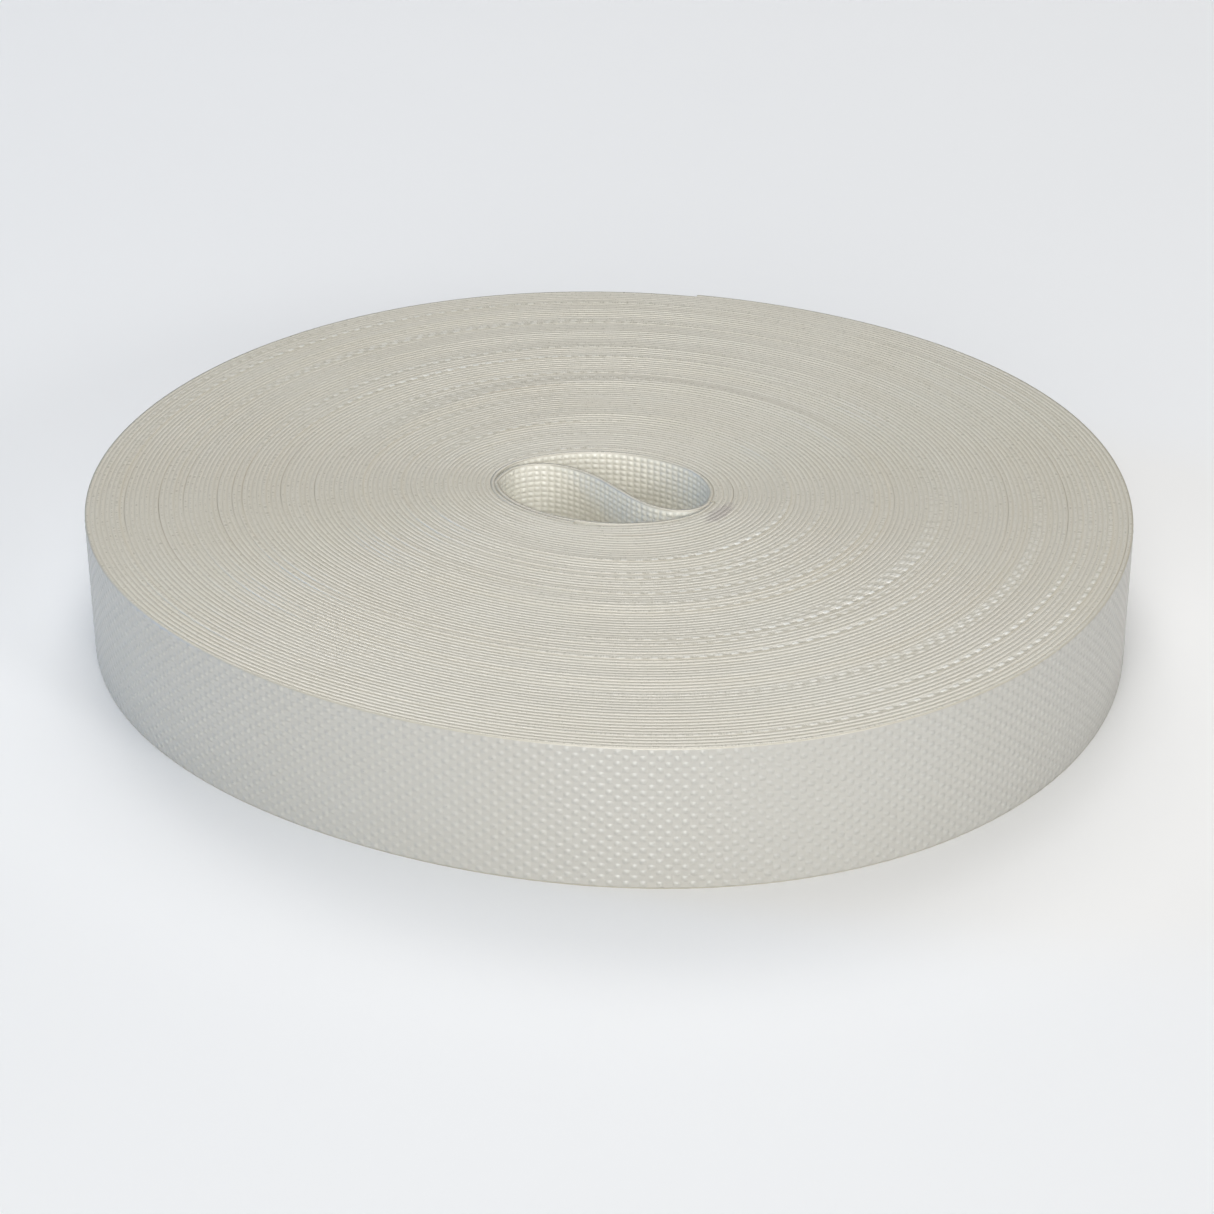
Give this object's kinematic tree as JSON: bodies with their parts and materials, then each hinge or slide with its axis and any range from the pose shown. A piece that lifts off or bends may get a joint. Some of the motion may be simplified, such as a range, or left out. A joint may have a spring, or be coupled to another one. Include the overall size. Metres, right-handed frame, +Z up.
{
  "type": "roll of polyester webbing",
  "caption": "Low round roll of flat woven polyester webbing, wound on itself without a core, with an oval hole that the strip's start crosses as an S.",
  "frame": {"origin": "on the surface the roll lies on, under the middle of its bounding box", "axes": "+Z up along the winding axis and across the webbing's width; the picture's camera looks along +Y from the front, with +X to the right"},
  "size_m": [0.1814, 0.1792, 0.0254],
  "materials": {
    "webbing": "satin plain weave"
  },
  "bodies": {
    "root": {"webbing_roll": "webbing"}
  },
  "joints": []
}
